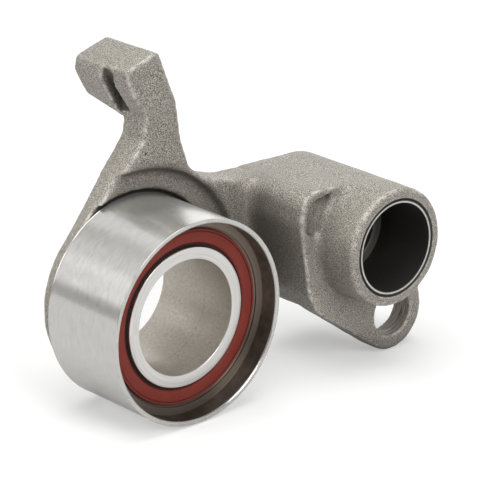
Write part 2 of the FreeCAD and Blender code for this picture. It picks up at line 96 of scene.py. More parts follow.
def noise(mat, place, scale, detail=3.0, rough=0.6):
    node = addNode(mat, "ShaderNodeTexNoise", Scale=scale, Detail=detail, Roughness=rough)
    join(mat, place, node.inputs["Vector"])
    return node.outputs["Fac"]


def ramp(mat, source, stops):
    node = addNode(mat, "ShaderNodeValToRGB")
    bar = node.color_ramp
    while len(bar.elements) < len(stops):
        bar.elements.new(0.5)
    for element, (at, colour) in zip(bar.elements, stops):
        element.position = at
        element.color = (*colour, 1)
    join(mat, source, node.inputs["Fac"])
    return node.outputs["Color"]


def remap(mat, source, low, high, toLow, toHigh):
    node = addNode(mat, "ShaderNodeMapRange")
    for name, value in (("From Min", low), ("From Max", high), ("To Min", toLow), ("To Max", toHigh)):
        node.inputs[name].default_value = value
    join(mat, source, node.inputs["Value"])
    return node.outputs["Result"]


def within(mat, source, limit, fade, level=1.0):
    # the level where a length is under the limit, falling to 0 over the fade; both in millimetres
    return remap(mat, source, limit * mm, (limit + fade) * mm, level, 0.0)


def sums(mat, operation, a, b=0):
    node = addNode(mat, "ShaderNodeMath", operation=operation)
    for socket, value in zip(node.inputs, (a, b)):
        if isinstance(value, (int, float)):
            socket.default_value = value
        else:
            join(mat, value, socket)
    return node.outputs["Value"]


def blendColours(mat, share, a, b, mode="MIX"):
    node = addNode(mat, "ShaderNodeMix", data_type="RGBA", blend_type=mode)
    for index, value in ((0, share), (6, a), (7, b)):       # the factor and colour sockets
        socket = node.inputs[index]
        if isinstance(value, (int, float)):
            socket.default_value = value
        elif isinstance(value, tuple):
            socket.default_value = (*value, 1)
        else:
            join(mat, value, socket)
    return node.outputs[2]


def bump(mat, height, strength, distance, after=None):
    node = addNode(mat, "ShaderNodeBump", Strength=strength, Distance=distance)
    join(mat, height, node.inputs["Height"])
    if after is not None:
        join(mat, after, node.inputs["Normal"])
    return node.outputs["Normal"]


def objectPlace(mat, stretch=(1, 1, 1)):
    place = addNode(mat, "ShaderNodeTexCoord").outputs["Object"]
    if stretch == (1, 1, 1):
        return place
    mapping = addNode(mat, "ShaderNodeMapping", Scale=stretch)
    join(mat, place, mapping.inputs["Vector"])
    return mapping.outputs["Vector"]


def splitPlace(mat):
    split = addNode(mat, "ShaderNodeSeparateXYZ")
    join(mat, objectPlace(mat), split.inputs["Vector"])
    return split


def radiusAbout(mat, split, axis=(0, 0)):
    # distance from an axis along Y, whose x and z are in millimetres
    across = sums(mat, "SUBTRACT", split.outputs["X"], axis[0] * mm)
    up = sums(mat, "SUBTRACT", split.outputs["Z"], axis[1] * mm)
    square = sums(mat, "ADD", sums(mat, "MULTIPLY", across, across), sums(mat, "MULTIPLY", up, up))
    return sums(mat, "SQRT", square)


def lathe(name, profile, axis=(0, 0), steps=240):
    # turns a closed (radius, place) outline in millimetres about an axis along Y
    verts = []
    faces = []
    count = len(profile)
    for index in range(steps):
        turn = 2 * math.pi * index / steps
        for radius, along in profile:
            x = axis[0] + radius * math.cos(turn)
            z = axis[1] + radius * math.sin(turn)
            verts.append((x * mm, along * mm, z * mm))
    for index in range(steps):
        nextIndex = (index + 1) % steps
        for corner in range(count):
            nextCorner = (corner + 1) % count
            faces.append((index * count + corner, index * count + nextCorner,
                          nextIndex * count + nextCorner, nextIndex * count + corner))
    mesh = bpy.data.meshes.new(name)
    mesh.from_pydata(verts, [], faces)
    mesh.update()
    obj = addObject(name, mesh)
    area = sum(a[0] * b[1] - b[0] * a[1] for a, b in zip(profile, profile[1:] + profile[:1]))
    if area < 0:
        mesh.flip_normals()
    mesh.shade_smooth()
    mesh.set_sharp_from_angle(angle=math.radians(sharpAngle))
    return obj


def roundCorners(corners, steps=3):
    # corners are (radius, place, rounding) in millimetres
    outline = []
    for index, (x, y, reach) in enumerate(corners):
        if reach == 0:
            outline.append((x, y))
            continue
        corner = Vector((x, y))
        before = Vector(corners[index - 1][:2]) - corner
        after = Vector(corners[(index + 1) % len(corners)][:2]) - corner
        start = corner + before.normalized() * min(reach, before.length * 0.45)
        end = corner + after.normalized() * min(reach, after.length * 0.45)
        for step in range(steps + 1):
            t = step / steps
            point = start * (1 - t) ** 2 + corner * 2 * t * (1 - t) + end * t ** 2
            outline.append((point.x, point.y))
    return outline


def dress(obj, body, slotName, *nodes):
    obj.data.materials.clear()
    obj.data.materials.append(finishes[slotName])
    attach(obj, body)
    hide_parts(*nodes)


# pulley rim, ground outside, with a turned cup at each end
pulley = {
    "rimRadius": 30.0,
    "halfWidth": 14.65,
    "cupRadius": 28.4,
    "shoulder": 8.95,
    "mouthRadius": 26.2,
    "mouthPlace": 8.4,
    "snapRadius": 25.5,
    "snapPlaces": (8.05, 7.9),
    "grooveRadius": 25.9,
    "groovePlaces": (7.75, 7.3),
    "landRadius": 25.0,
    "trackPlace": 4.1,
    "trackRadius": 3.094,
    "trackBottom": 26.225,
    "edge": 0.35,
    "chamfer": (0.45, 0.40),    # at the cup's mouth, outwards and inwards
    "lineScale": 420.0,         # of the noise in the ground lines
    "smearScale": 110.0,
    "stainScale": 260.0,
    "colour": (0.550, 0.542, 0.522),
    "lines": (0.475, 0.465, 0.444),
    "smear": (0.510, 0.495, 0.468),
    "darkTone": (0.126, 0.098, 0.078),
    "oilyDark": (0.066, 0.050, 0.039),
    # the cup's shoulder faces are painted lighter, a painted sheen
    "paintedShoulderSheen": (0.180, 0.142, 0.115),
    "darkeningPlaces": (-22.0 * mm, 2.0 * mm),    # heights between which the cup goes from darker to lighter
    "darkeningLevels": (0.72, 1.30),
    "metallic": 0.76,
    "anisotropic": 0.90,
}


def groundSteelFinish():
    # ground round the axis; faint smears and a few dull clouds
    p = pulley
    mat, shader = newMaterial("ground_steel")
    split = splitPlace(mat)
    lines = noise(mat, objectPlace(mat, (1, 6, 1)), p["lineScale"])
    smear = noise(mat, objectPlace(mat, (1, 0.35, 1)), p["smearScale"], 3.0, 0.5)
    tone = ramp(mat, lines, [(0.32, p["lines"]), (0.55, p["colour"])])
    tone = blendColours(mat, remap(mat, smear, 0.45, 0.75, 0.0, 0.30), tone, p["smear"])
    # inside the rim the turned cup is dark and brownish with old oil
    stain = noise(mat, objectPlace(mat), p["stainScale"])
    darkTone = ramp(mat, stain, [(0.35, p["oilyDark"]), (0.70, p["darkTone"])])
    # faces that look along the axis get the lighter tone: painted sheen on the cup's shoulders
    flat = addNode(mat, "ShaderNodeSeparateXYZ")
    join(mat, addNode(mat, "ShaderNodeNewGeometry").outputs["Normal"], flat.inputs["Vector"])
    sheenShare = remap(mat, sums(mat, "ABSOLUTE", flat.outputs["Y"]), 0.5, 0.9, 0.0, 1.0)
    darkTone = blendColours(mat, sheenShare, darkTone, p["paintedShoulderSheen"])
    # the cup is darker towards the bottom and lighter towards the top
    bottomDarkening = remap(mat, split.outputs["Z"], *p["darkeningPlaces"], *p["darkeningLevels"])
    darkTone = blendColours(mat, 1.0, darkTone, bottomDarkening, "MULTIPLY")
    inCup = within(mat, radiusAbout(mat, split), p["cupRadius"], 0.30)
    join(mat, blendColours(mat, inCup, tone, darkTone), shader.inputs["Base Color"])
    shader.inputs["Metallic"].default_value = p["metallic"]
    # the stone's lines run round the rim, so light smears along the axis and stays sharp round it
    shader.inputs["Anisotropic"].default_value = p["anisotropic"]
    shader.inputs["Anisotropic Rotation"].default_value = 0.25
    tangent = addNode(mat, "ShaderNodeTangent", direction_type="RADIAL", axis="Y")
    join(mat, tangent.outputs["Tangent"], shader.inputs["Tangent"])
    fine = remap(mat, lines, 0.3, 0.7, -0.015, 0.015)
    rough = sums(mat, "ADD", fine, remap(mat, smear, 0.3, 0.8, 0.19, 0.24))
    rough = sums(mat, "ADD", rough, remap(mat, inCup, 0.0, 1.0, 0.0, 0.22))
    join(mat, rough, shader.inputs["Roughness"])
    join(mat, bump(mat, lines, 0.04, 0.002 * mm), shader.inputs["Normal"])


def makePulleyRim():
    p = pulley
    outwards, inwards = p["chamfer"]
    half = [
        (p["rimRadius"], p["halfWidth"], p["edge"]),
        (p["cupRadius"] + outwards, p["halfWidth"], 0.10),
        (p["cupRadius"], p["halfWidth"] - inwards, 0.10),
        (p["cupRadius"], p["shoulder"], 0.30),
        (p["mouthRadius"], p["shoulder"], 0.10),
        (p["mouthRadius"], p["mouthPlace"], 0.05),
        (p["snapRadius"], p["snapPlaces"][0], 0.05),
        (p["snapRadius"], p["snapPlaces"][1], 0),
        (p["grooveRadius"], p["groovePlaces"][0], 0),
        (p["grooveRadius"], p["groovePlaces"][1], 0),
        (p["landRadius"], p["groovePlaces"][1], 0.05),
    ]
    # the balls' track is an arc between the lands
    centre = p["trackBottom"] - p["trackRadius"]
    reach = math.acos((p["landRadius"] - centre) / p["trackRadius"])
    track = [(centre + p["trackRadius"] * math.cos(turn), p["trackPlace"] + p["trackRadius"] * math.sin(turn))
             for turn in np.linspace(reach, -reach, 9)]
    rear = roundCorners(half) + track
    front = [(radius, -along) for radius, along in rear][::-1]
    obj = lathe("pulley_rim", rear + front, steps=288)
    dress(obj, "pulley", "ground_steel", "pulley_outer_ring")


groundSteelFinish()
makePulleyRim()
print("pulley rim made")


# bearing inner ring: bright turned face, dull brownish bore with a little dried oil
innerRing = {
    "bore": 16.8,
    "halfWidth": 9.15,
    "landRadius": 20.4,
    "landPlace": 7.3,
    "midRadius": 21.4,
    "midPlace": 7.0,
    "edge": 0.35,
    "boreEdge": 0.45,
    "lineScale": 5200.0,
    "lineTurn": 0.0003,         # how slowly the turned lines change round the axis
    "speckScale": 1400.0,
    "cloudScale": 120.0,
    "face": (0.690, 0.672, 0.645),
    "faceLines": (0.540, 0.530, 0.512),
    "boreTones": [(0.30, (0.360, 0.332, 0.292)), (0.50, (0.475, 0.440, 0.388)),
                  (0.75, (0.600, 0.560, 0.505))],
    "film": (0.460, 0.410, 0.345),
    "seam": (0.130, 0.115, 0.098),
    "seamPlace": 2.3,           # faint line round the bore
}


def ringSteelFinish():
    r = innerRing
    mat, shader = newMaterial("ring_steel")
    split = splitPlace(mat)
    radius = radiusAbout(mat, split)
    turn = sums(mat, "ARCTAN2", split.outputs["Z"], split.outputs["X"])
    mix = addNode(mat, "ShaderNodeCombineXYZ")
    join(mat, radius, mix.inputs["X"])
    join(mat, split.outputs["Y"], mix.inputs["Y"])
    join(mat, sums(mat, "MULTIPLY", turn, r["lineTurn"]), mix.inputs["Z"])
    lines = noise(mat, mix.outputs["Vector"], r["lineScale"], 2.0)
    speck = noise(mat, objectPlace(mat), r["speckScale"], 4.0, 0.7)
    cloud = noise(mat, objectPlace(mat), r["cloudScale"], 4.0)
    bright = ramp(mat, lines, [(0.30, r["faceLines"]), (0.62, r["face"])])
    dull = ramp(mat, speck, r["boreTones"])
    dull = blendColours(mat, remap(mat, cloud, 0.45, 0.65, 0.0, 0.5), dull, r["film"])
    off = sums(mat, "ABSOLUTE", sums(mat, "SUBTRACT", split.outputs["Y"], r["seamPlace"] * mm))
    dull = blendColours(mat, within(mat, off, 0.05, 0.20, 0.22), dull, r["seam"])
    inBore = within(mat, radius, r["bore"] + 0.05, 0.15)
    join(mat, blendColours(mat, inBore, bright, dull), shader.inputs["Base Color"])
    join(mat, remap(mat, inBore, 0.0, 1.0, 1.0, 0.60), shader.inputs["Metallic"])
    join(mat, remap(mat, inBore, 0.0, 1.0, 0.30, 0.40), shader.inputs["Roughness"])
    fine = bump(mat, lines, 0.20, 0.004 * mm)
    join(mat, bump(mat, speck, 0.25, 0.010 * mm, fine), shader.inputs["Normal"])


def makeInnerRing():
    r = innerRing
    hub = holes["hub"]
    corners = [
        (r["bore"], -r["halfWidth"], r["boreEdge"]),
        (r["landRadius"], -r["halfWidth"], r["edge"]),
        (r["landRadius"], -r["landPlace"], 0),
        (r["midRadius"], -r["midPlace"], 0.05),
        (r["midRadius"], r["midPlace"], 0.05),
        (r["landRadius"], r["landPlace"], 0),
        (r["landRadius"], r["halfWidth"], r["edge"]),
        (hub["radius"], hub["front"], 0),       # the tail that sits in the arm's hub
        (hub["radius"], hub["back"], 0),
        (r["bore"], hub["back"], r["boreEdge"]),
    ]
    obj = lathe("bearing_inner_ring", roundCorners(corners))
    dress(obj, "arm", "ring_steel", "inner_ring")


ringSteelFinish()
makeInnerRing()
print("inner ring made")


# red rubber seals
seal = {
    "face": 8.65,
    "back": 7.6,
    "clearance": 0.05,          # to the rings
    "faceInner": 21.75,
    "beadWidth": 0.6,
    "beadHeight": 0.12,
    "insertOuter": 25.1,
    "insertInner": 22.2,
    "insertFace": 8.0,
    "fineScale": 2600.0,
    "cloudScale": 90.0,
    "colour": (0.215, 0.034, 0.024),
    "pale": (0.245, 0.046, 0.034),
    "specks": (0.130, 0.030, 0.026),
    # inside this radius the lip is painted dark, as its shade under the seal's face
    "lipEdge": 21.25,
    "paintedLipShade": (0.038, 0.016, 0.013),
    "rimLine": 24.72,           # groove beside the rim's bead, painted dark as its shade
    "paintedGrooveShade": (0.020, 0.010, 0.009),
}


def sealRubberFinish():
    s = seal
    mat, shader = newMaterial("seal_rubber")
    radius = radiusAbout(mat, splitPlace(mat))
    fine = noise(mat, objectPlace(mat), s["fineScale"])
    cloud = noise(mat, objectPlace(mat), s["cloudScale"], 3.0, 0.5)
    tone = ramp(mat, cloud, [(0.35, s["colour"]), (0.70, s["pale"])])
    tone = blendColours(mat, remap(mat, fine, 0.45, 0.75, 0.0, 0.25), tone, s["specks"])
    # painted shade on the inner lip
    tone = blendColours(mat, within(mat, radius, s["lipEdge"], 0.15), tone, s["paintedLipShade"])
    # painted shade: a dark line in the groove beside the bead
    off = sums(mat, "ABSOLUTE", sums(mat, "SUBTRACT", radius, s["rimLine"] * mm))
    tone = blendColours(mat, within(mat, off, 0.06, 0.10, 0.9), tone, s["paintedGrooveShade"])
    join(mat, tone, shader.inputs["Base Color"])
    shader.inputs["Specular IOR Level"].default_value = 0.18
    join(mat, remap(mat, fine, 0.3, 0.7, 0.50, 0.64), shader.inputs["Roughness"])
    join(mat, bump(mat, fine, 0.25, 0.012 * mm), shader.inputs["Normal"])


def makeSeals():
    s = seal
    lip = innerRing["landRadius"] + s["clearance"]
    outer = pulley["snapRadius"] - s["clearance"]
    bead = outer - s["beadWidth"]
    groove = pulley["grooveRadius"] - s["clearance"]
    grooveFront, grooveBack = pulley["groovePlaces"]
    corners = [
        (lip, s["back"], 0),
        (lip + 0.02, s["back"] + 0.28, 0.06),
        (lip + 0.62, s["back"] + 0.30, 0.15),
        (s["faceInner"] - 0.10, s["face"] - 0.12, 0.10),
        (s["faceInner"] + 0.25, s["face"], 0.15),
        (bead - 0.35, s["face"], 0.08),
        (bead - 0.18, s["face"] - 0.14, 0.05),
        (bead, s["face"] + s["beadHeight"], 0.12),
        (outer, s["face"] + s["beadHeight"] - 0.06, 0.18),
        (outer, pulley["snapPlaces"][1], 0),
        (groove, grooveFront, 0),
        (groove, grooveBack + 0.02, 0),
        (s["insertOuter"], grooveBack + 0.02, 0),
        (s["insertOuter"], s["insertFace"], 0),
        (s["insertInner"], s["insertFace"], 0),
        (s["insertInner"], s["back"], 0),
    ]
    for side, sign in (("front", -1), ("rear", 1)):
        outline = [(radius, sign * along) for radius, along in roundCorners(corners)]
        obj = lathe(side + "_seal", outline)
        dress(obj, "pulley", "seal_rubber", side + "_seal_rubber")


sealRubberFinish()
makeSeals()
print("seals made")


# bush in the pivot tube: bright turned rim, and a bore painted near black as shade
bush = {
    "bore": 13.25,
    "inset": 0.20,              # how far it sits behind the tube's mouth
    "fineScale": 2400.0,
    "rimTones": [(0.35, (0.430, 0.415, 0.385)), (0.65, (0.620, 0.605, 0.575))],
    "paintedBoreShade": [(0.35, (0.012, 0.011, 0.010)), (0.70, (0.022, 0.020, 0.018))],
    "darkTone": (0.060, 0.054, 0.047),
    "bareTo": 13.80,            # only this far out is its front face bare, the rest is oily
}


def bushSteelFinish():
    b = bush
    mat, shader = newMaterial("bush_steel")
    radius = radiusAbout(mat, splitPlace(mat), holes["seat"]["axis"])
    fine = noise(mat, objectPlace(mat), b["fineScale"])
    bright = ramp(mat, fine, b["rimTones"])
    bright = blendColours(mat, within(mat, radius, b["bareTo"], 0.12), b["darkTone"], bright)
    # the bore is painted near black: painted shade deep inside the tube
    inBore = within(mat, radius, b["bore"] + 0.05, 0.15)
    boreShade = ramp(mat, fine, b["paintedBoreShade"])
    join(mat, blendColours(mat, inBore, bright, boreShade), shader.inputs["Base Color"])
    join(mat, remap(mat, inBore, 0.0, 1.0, 1.0, 0.0), shader.inputs["Metallic"])
    join(mat, remap(mat, inBore, 0.0, 1.0, 0.30, 0.55), shader.inputs["Roughness"])
    join(mat, bump(mat, fine, 0.2, 0.006 * mm), shader.inputs["Normal"])


def makeBush():
    seat = holes["seat"]
    front = seat["front"] + bush["inset"]
    corners = [
        (bush["bore"], front, 0.25),
        (seat["radius"], front, 0.15),
        (seat["radius"], seat["back"], 0),
        (bush["bore"], seat["back"], 0),
    ]
    obj = lathe("tube_bush", roundCorners(corners), axis=seat["axis"], steps=200)
    dress(obj, "arm", "bush_steel", "pivot_bush")


bushSteelFinish()
makeBush()
print("bush made")


# the arm's finish: a blasted casting
casting = {
    "colour": (0.262, 0.242, 0.208),
    "light": (0.610, 0.574, 0.502),
    "dark": (0.052, 0.046, 0.037),
    "paintedGlint": (0.860, 0.830, 0.770),         # painted glints on single grains
    "rubbedEdgeAndHighlight": (0.720, 0.700, 0.665),        # edges rubbed bright here and there, partly a painted highlight
    "paintedCornerShade": (0.090, 0.082, 0.072),        # painted shade in inner corners
    "paintedNookShade": (0.048, 0.044, 0.038),         # painted shade where the pieces stand close together
    "stain": (0.230, 0.205, 0.175),
    "bored": (0.110, 0.102, 0.091),         # the bush's turned seat
    "unlit": (0.022, 0.020, 0.018),
    "drilled": [(0.36, (0.120, 0.108, 0.090)), (0.62, (0.400, 0.370, 0.320))],
    "scuffScale": 520.0,
    "cloudScale": 45.0,
    "drillScale": 2600.0,
    "metallic": 0.35,
    "grainSize": 0.11 * mm,
    "grainDepth": 0.085 * mm,
    "shadeReach": 24.0 * mm,
}


def toneHoles(mat, tone):
    # the bush's seat, what stays unlit round the bush and in the bolt hole, and the ear's drilled wall
    c = casting
    seat = holes["seat"]
    split = splitPlace(mat)
    along = split.outputs["Y"]
    radius = radiusAbout(mat, split, seat["axis"])
    inSeat = within(mat, radius, seat["radius"] + 0.40, 0.20)
    beforeShoulder = within(mat, along, seat["back"] + 0.30, 0.30)
    tone = blendColours(mat, sums(mat, "MULTIPLY", inSeat, beforeShoulder), tone, c["bored"])
    atMouth = within(mat, along, seat["front"] + 0.35, 1.0)
    inBolt = within(mat, radius, holes["bolt"]["radius"] + 0.05, 0.20)
    unlit = sums(mat, "MAXIMUM", sums(mat, "MULTIPLY", inSeat, atMouth), inBolt)
    tone = blendColours(mat, unlit, tone, c["unlit"])
    inEar = within(mat, radiusAbout(mat, split, holes["ear"]["axis"]), holes["ear"]["radius"], 0.15)
    lines = noise(mat, objectPlace(mat, (0.08, 1, 0.08)), c["drillScale"], 2.0)
    return blendColours(mat, inEar, tone, ramp(mat, lines, c["drilled"]))


def castingFinish():
    c = casting
    mat, shader = newMaterial("blasted_casting")
    place = objectPlace(mat)
    grain = noise(mat, place, 0.50 / c["grainSize"], 2.0)
    pits = noise(mat, place, 0.30 / c["grainSize"], 2.0, 0.5)
    glintSpots = noise(mat, place, 0.55 / c["grainSize"], 1.0, 0.5)
    tone = ramp(mat, grain, [(0.38, c["dark"]), (0.50, c["colour"]), (0.62, c["light"])])
    # painted glints: single grains coloured bright as if they caught the light
    tone = blendColours(mat, remap(mat, glintSpots, 0.67, 0.72, 0.0, 0.8), tone, c["paintedGlint"])
    edge = addNode(mat, "ShaderNodeNewGeometry").outputs["Pointiness"]
    # convex edges are made bright: partly wear, partly a painted highlight
    scuffs = remap(mat, noise(mat, place, c["scuffScale"]), 0.44, 0.62, 0.05, 1.0)
    wearAndHighlight = sums(mat, "MULTIPLY", remap(mat, edge, 0.511, 0.538, 0.0, 0.75), scuffs)
    tone = blendColours(mat, wearAndHighlight, tone, c["rubbedEdgeAndHighlight"])
    # painted shade in the inner corners
    tone = blendColours(mat, remap(mat, edge, 0.497, 0.480, 0.0, 0.70), tone, c["paintedCornerShade"])
    # painted shade: darker where nearby surfaces block the light
    occlusion = addNode(mat, "ShaderNodeAmbientOcclusion", samples=8, Distance=c["shadeReach"])
    tone = blendColours(mat, remap(mat, occlusion.outputs["AO"], 0.22, 0.67, 0.94, 0.0), tone, c["paintedNookShade"])
    cloud = noise(mat, place, c["cloudScale"], 3.0, 0.5)
    tone = blendColours(mat, remap(mat, cloud, 0.42, 0.66, 0.0, 0.30), tone, c["stain"])
    join(mat, toneHoles(mat, tone), shader.inputs["Base Color"])
    shader.inputs["Metallic"].default_value = c["metallic"]
    join(mat, remap(mat, grain, 0.3, 0.7, 0.62, 0.42), shader.inputs["Roughness"])
    rough = bump(mat, pits, 0.4, c["grainDepth"])
    join(mat, bump(mat, grain, 0.85, c["grainDepth"], rough), shader.inputs["Normal"])


castingFinish()


# the casting's skin, in millimetres: the solid remeshed, with its cast edges rounded
armSkin = {
    "voxel": 0.54,
    "passShare": 0.7,
    "edgePasses": 4,            # how far cast edges are rounded
    "waveDepth": 0.10,          # slow unevenness of the cast faces
    "waveSize": 5.5,
    "grainDepth": 0.020,
    "grainSize": 1.1,
    "holeReach": 1.2,           # past a hole's ends, where its edge still stays crisp
    "holeSoft": (0.5, 1.6),     # from a hole's wall, where rounding starts and is full
    "wallBand": 0.33,           # points this near a hole's wall are put exactly on it
    "wallInset": 0.35,
    "slot": ((-6.0, 17.2, 50.5), (4.6, 22.1, 66.4)),    # corners of a box round the hook's slot
    "slotShare": 0.22,
    "slotSoft": 1.0,
    "recessRadius": 37.2,       # the belt's recess has a deep soft foot
    "recessFloor": 13.85,
    "recessSoft": (5.0, 1.5),
    "recessRise": (3.0, 0.5),
    "recessPasses": 18,
    "tubeRadius": 17.7,         # so has the pivot tube where it meets the flange
    "tubeSoft": (4.5, 1.5),
    "flangeFront": -11.65,
    "flangeSoft": (5.0, 2.0),
    "foot": (41.4, 10.85),      # x and y of the corner where the web meets the lobe
    "footSoft": (6.5, 2.5),
    "footClear": (32.0, 34.0),  # radii round the pulley inside which nothing is softened
    "footPasses": 66,
}


def meshArrays(mesh):
    points = np.zeros(len(mesh.vertices) * 3)
    mesh.vertices.foreach_get("co", points)
    edges = np.zeros(len(mesh.edges) * 2, dtype=np.int64)
    mesh.edges.foreach_get("vertices", edges)
    return points.reshape(-1, 3) / mm, edges.reshape(-1, 2)


def setPoints(mesh, points):
    mesh.vertices.foreach_set("co", (points * mm).ravel())
    mesh.update()


def relax(points, edges, share, passes):
    # draws each point towards the mean of its neighbours, by its own share
    count = len(points)
    number = np.bincount(edges.ravel(), minlength=count)
    for _ in range(passes):
        total = np.stack([np.bincount(edges[:, 0], points[edges[:, 1], axis], count)
                          + np.bincount(edges[:, 1], points[edges[:, 0], axis], count)
                          for axis in range(3)], axis=1)
        mean = total / np.maximum(number, 1)[:, None]
        points = points + (mean - points) * share[:, None]
    return points


def smoothStep(values, low, high):
    share = np.clip((values - low) / (high - low), 0, 1)
    return share * share * (3 - 2 * share)


def remeshedArm():
    obj = addObject("arm_cast_body", frame["nodes"]["arm_casting"].data.copy())
    welded = obj.modifiers.new("weld", "WELD")
    welded.merge_threshold = 0.0005 * mm
    remesh = obj.modifiers.new("skin", "REMESH")
    remesh.mode = "VOXEL"
    remesh.voxel_size = armSkin["voxel"] * mm
    graph = bpy.context.evaluated_depsgraph_get()
    graph.update()
    mesh = bpy.data.meshes.new_from_object(obj.evaluated_get(graph))
    obj.modifiers.clear()
    obj.data = mesh
    return obj


def measureHoles(points, share):
    # less rounding beside the machined holes, and the exact places of the points on their walls
    s = armSkin
    walls = []
    along = points[:, 1]
    for hole in holes.values():
        across = points[:, [0, 2]] - np.array(hole["axis"])
        distance = np.linalg.norm(across, axis=1)
        off = np.abs(distance - hole["radius"])
        inside = (along > hole["front"] - s["holeReach"]) & (along < hole["back"] + s["holeReach"])
        share = np.where(inside, share * smoothStep(off, *s["holeSoft"]), share)
        inset = s["wallInset"]
        wall = (off < s["wallBand"]) & (along > hole["front"] + inset) & (along < hole["back"] - inset)
        exact = across[wall] / distance[wall, None] * hole["radius"] + np.array(hole["axis"])
        walls.append((wall, exact))
    return share, walls


def roundEdges(points, edges, share):
    s = armSkin
    points = relax(points, edges, share, s["edgePasses"])
    # deeper blends at the foot of the belt's recess and round the tube
    fromPulley = np.hypot(points[:, 0], points[:, 2])
    recess = smoothStep(np.abs(fromPulley - s["recessRadius"]), *s["recessSoft"])
    recess = recess * smoothStep(points[:, 1] - s["recessFloor"], *s["recessRise"])
    fromTube = np.linalg.norm(points[:, [0, 2]] - np.array(holes["seat"]["axis"]), axis=1)
    collar = smoothStep(np.abs(fromTube - s["tubeRadius"]), *s["tubeSoft"])
    collar = collar * smoothStep(np.abs(points[:, 1] - s["flangeFront"]), *s["flangeSoft"])
    points = relax(points, edges, share * np.maximum(recess, collar), s["recessPasses"])
    # and a soft fold where the web meets the lobe
    toFoot = np.linalg.norm(points[:, :2] - np.array(s["foot"]), axis=1)
    fold = smoothStep(toFoot, *s["footSoft"]) * smoothStep(fromPulley, *s["footClear"])
    return relax(points, edges, share * fold, s["footPasses"])


def makeCastingSkin():
    s = armSkin
    obj = remeshedArm()
    points, edges = meshArrays(obj.data)
    share, walls = measureHoles(points, np.full(len(points), s["passShare"]))
    # the hook's slot keeps sharper edges
    low, high = (np.array(corner) for corner in s["slot"])
    gap = np.linalg.norm(np.maximum(np.maximum(low - points, points - high), 0), axis=1)
    share = share * (s["slotShare"] + (1 - s["slotShare"]) * smoothStep(gap, 0, s["slotSoft"]))
    points = roundEdges(points, edges, share)
    for wall, exact in walls:
        points[wall, 0] = exact[:, 0]
        points[wall, 2] = exact[:, 1]
    setPoints(obj.data, points)
    # cast faces are a little uneven, machined ones aren't
    normals = np.zeros(len(points) * 3)
    obj.data.vertices.foreach_get("normal", normals)
    free = np.minimum(share / s["passShare"], 1)
    lift = np.zeros(len(points))
    for index, point in enumerate(points):
        place = Vector(point)
        wave = s["waveDepth"] * noiseAt(place / s["waveSize"])
        lift[index] = wave + s["grainDepth"] * noiseAt(place / s["grainSize"])
    points = points + normals.reshape(-1, 3) * (lift * free)[:, None]
    low, high = (np.array(corner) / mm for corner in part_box("arm_casting"))
    setPoints(obj.data, np.clip(points, low, high))
    obj.data.shade_smooth()
    triangles = sum(len(face.vertices) - 2 for face in obj.data.polygons)
    print("casting skin made:", len(points), "points,", triangles, "triangles")
    dress(obj, "arm", "blasted_casting", "arm_casting")


makeCastingSkin()


# hidden bearing pieces keep their own solids
bearingInside = {
    "sealSteel": {"dark": (0.360, 0.360, 0.360), "colour": (0.520, 0.520, 0.520),
                  "rough": 0.35, "scale": 1800.0},
    "ballSteel": {"dark": (0.700, 0.700, 0.710), "colour": (0.780, 0.780, 0.790),
                  "rough": 0.10, "scale": 900.0},
    "cageScale": 1500.0,
    "cageTones": [(0.35, (0.016, 0.014, 0.012)), (0.70, (0.040, 0.035, 0.030))],
}


def plainSteelFinish(name, steel):
    mat, shader = newMaterial(name)
    fine = noise(mat, objectPlace(mat), steel["scale"])
    join(mat, ramp(mat, fine, [(0.35, steel["dark"]), (0.65, steel["colour"])]), shader.inputs["Base Color"])
    shader.inputs["Metallic"].default_value = 1.0
    rough = remap(mat, fine, 0.3, 0.7, steel["rough"] + 0.08, steel["rough"] - 0.04)
    join(mat, rough, shader.inputs["Roughness"])
    join(mat, bump(mat, fine, 0.2, 0.006 * mm), shader.inputs["Normal"])


def cagePolymerFinish():
    mat, shader = newMaterial("cage_polymer")
    fine = noise(mat, objectPlace(mat), bearingInside["cageScale"], 4.0)
    join(mat, ramp(mat, fine, bearingInside["cageTones"]), shader.inputs["Base Color"])
    join(mat, remap(mat, fine, 0.3, 0.7, 0.40, 0.55), shader.inputs["Roughness"])
    join(mat, bump(mat, fine, 0.3, 0.01 * mm), shader.inputs["Normal"])


def dressHiddenPieces():
    slots = {part["node"]: part["material_slot"] for part in frame["record"]["subparts"]}
    for node, obj in frame["nodes"].items():
        if obj.hide_render:
            continue
        obj.data.materials.clear()
        obj.data.materials.append(finishes[slots[node]])
        if "ball" in node:
            obj.data.shade_smooth()


plainSteelFinish("seal_steel", bearingInside["sealSteel"])
plainSteelFinish("ball_steel", bearingInside["ballSteel"])
cagePolymerFinish()
dressHiddenPieces()
print("bearing's inside dressed")


# camera
camera = {
    "place": (-0.470415, -0.560354, 0.292379),
    "turn": 41.651,             # degrees that the view turns right from +Y
    "drop": 20.399,             # degrees that it looks down
    "lens": 211.73,
    "sensor": 36.0,
}


def makeCamera():
    turn = math.radians(camera["turn"])
    drop = math.radians(camera["drop"])
    right = Vector((math.cos(turn), -math.sin(turn), 0))
    up = Vector((math.sin(turn) * math.sin(drop), math.cos(turn) * math.sin(drop), math.cos(drop)))
    data = bpy.data.cameras.new("camera")
    data.lens = camera["lens"]
    data.sensor_width = camera["sensor"]
    data.clip_start = 0.01
    data.clip_end = 20
    obj = addObject("camera", data)
    turned = Matrix((right, up, right.cross(up))).transposed().to_4x4()
    obj.matrix_world = Matrix.Translation(camera["place"]) @ turned
    bpy.context.scene.camera = obj


